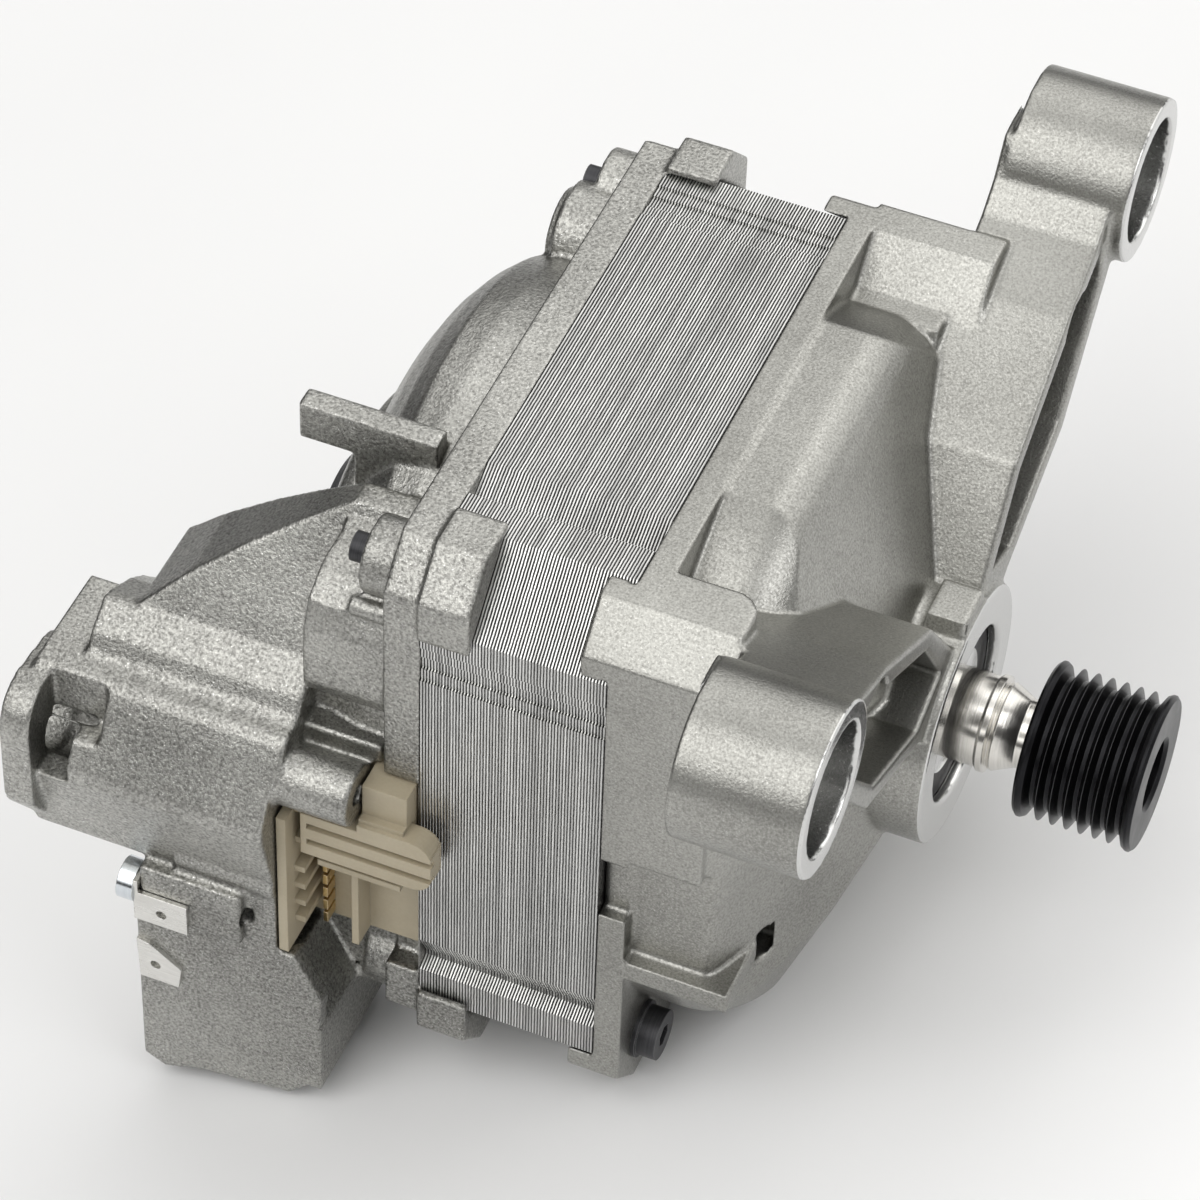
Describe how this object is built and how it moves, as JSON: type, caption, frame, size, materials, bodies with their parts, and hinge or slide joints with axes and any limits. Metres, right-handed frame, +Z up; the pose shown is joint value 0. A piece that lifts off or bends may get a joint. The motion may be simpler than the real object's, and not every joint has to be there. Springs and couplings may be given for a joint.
{
  "type": "washing machine drive motor",
  "caption": "Washing machine drive motor with bare laminated stator, two cast end shields, front lugs, rear arm, terminal block and ribbed belt pulley.",
  "frame": {"origin": "on the shaft axis at the stator face that meets the drive-end shield", "axes": "+X along the shaft towards the pulley, +Y away from the terminal block side, +Z up towards the two front lugs"},
  "size_m": [0.1664, 0.1678, 0.1418],
  "materials": {
    "cast_fine": "fine satin die casting",
    "cast_coarse": "coarse sparkling die casting",
    "lamination": "stacked sheet edges",
    "enamelled_copper": "enamelled copper wire",
    "bare_copper": "turned copper",
    "cream_plastic": "moulded satin",
    "black_plastic": "moulded matt",
    "phenolic": "moulded phenolic",
    "slot_paper": "insulating paper",
    "black_steel": "black phosphate",
    "black_pulley": "black oxide, turned",
    "ground_steel": "ground and turned",
    "spring_steel": "spring steel",
    "bearing_steel": "ground bearing steel",
    "black_rubber": "seal rubber",
    "brass": "pressed brass",
    "tinned_brass": "tinned brass",
    "zinc": "bright zinc plating",
    "carbon": "pressed carbon",
    "magnet": "sintered magnet"
  },
  "bodies": {
    "housing": {"stator_core": "lamination", "field_coil_upper": "enamelled_copper", "field_coil_lower": "enamelled_copper", "front_end_insulator": "cream_plastic", "rear_end_insulator": "cream_plastic", "drive_end_shield": "cast_fine", "rear_end_shield": "cast_coarse", "housing_screws": "black_steel", "drive_bearing_outer_race": "bearing_steel", "drive_bearing_seals": "black_rubber", "rear_bearing_outer_race": "bearing_steel", "rear_bearing_seals": "black_rubber", "retaining_ring": "spring_steel", "preload_washer": "spring_steel", "speed_coil": "enamelled_copper", "speed_sensor_cap": "black_plastic", "brush_frame_near": "phenolic", "brush_frame_far": "phenolic", "brush_tube_near": "brass", "brush_tube_far": "brass", "brush_spring_near": "spring_steel", "brush_spring_far": "spring_steel", "terminal_block": "cream_plastic", "terminal_blades": "tinned_brass", "earth_tab_upper": "tinned_brass", "earth_tab_lower": "tinned_brass", "earth_tab_screw": "zinc"},
    "rotor": {"shaft": "ground_steel", "armature_core": "lamination", "armature_slot_liners": "slot_paper", "armature_windings": "enamelled_copper", "commutator_bars": "bare_copper", "commutator_hub": "phenolic", "commutator_spacer": "cream_plastic", "pulley": "black_pulley", "speed_magnet": "magnet", "drive_bearing_inner_race": "bearing_steel", "rear_bearing_inner_race": "bearing_steel"},
    "drive_ball_set": {"drive_bearing_balls": "bearing_steel", "drive_bearing_cage": "brass"},
    "rear_ball_set": {"rear_bearing_balls": "bearing_steel", "rear_bearing_cage": "brass"},
    "near_brush": {"brush_near": "carbon"},
    "far_brush": {"brush_far": "carbon"}
  },
  "joints": [
    {"name": "rotor_spin", "type": "hinge", "parent": "housing", "child": "rotor", "pos_m": [0, 0, 0], "axis": [1, 0, 0], "continuous": true},
    {"name": "drive_balls_spin", "type": "hinge", "parent": "housing", "child": "drive_ball_set", "pos_m": [0.0325, 0, 0], "axis": [1, 0, 0], "continuous": true},
    {"name": "rear_balls_spin", "type": "hinge", "parent": "housing", "child": "rear_ball_set", "pos_m": [-0.057, 0, 0], "axis": [1, 0, 0], "continuous": true},
    {"name": "near_brush_slide", "type": "slide", "parent": "housing", "child": "near_brush", "axis": [0, -1, 0], "range_m": [0, 0.006], "stiffness_N_per_m": 120, "deforming": ["brush_spring_near"]},
    {"name": "far_brush_slide", "type": "slide", "parent": "housing", "child": "far_brush", "axis": [0, 1, 0], "range_m": [0, 0.006], "stiffness_N_per_m": 120, "deforming": ["brush_spring_far"]}
  ],
  "couplings": [
    {"joint": "drive_balls_spin", "follows": "rotor_spin", "ratio": 0.38},
    {"joint": "rear_balls_spin", "follows": "rotor_spin", "ratio": 0.372}
  ]
}
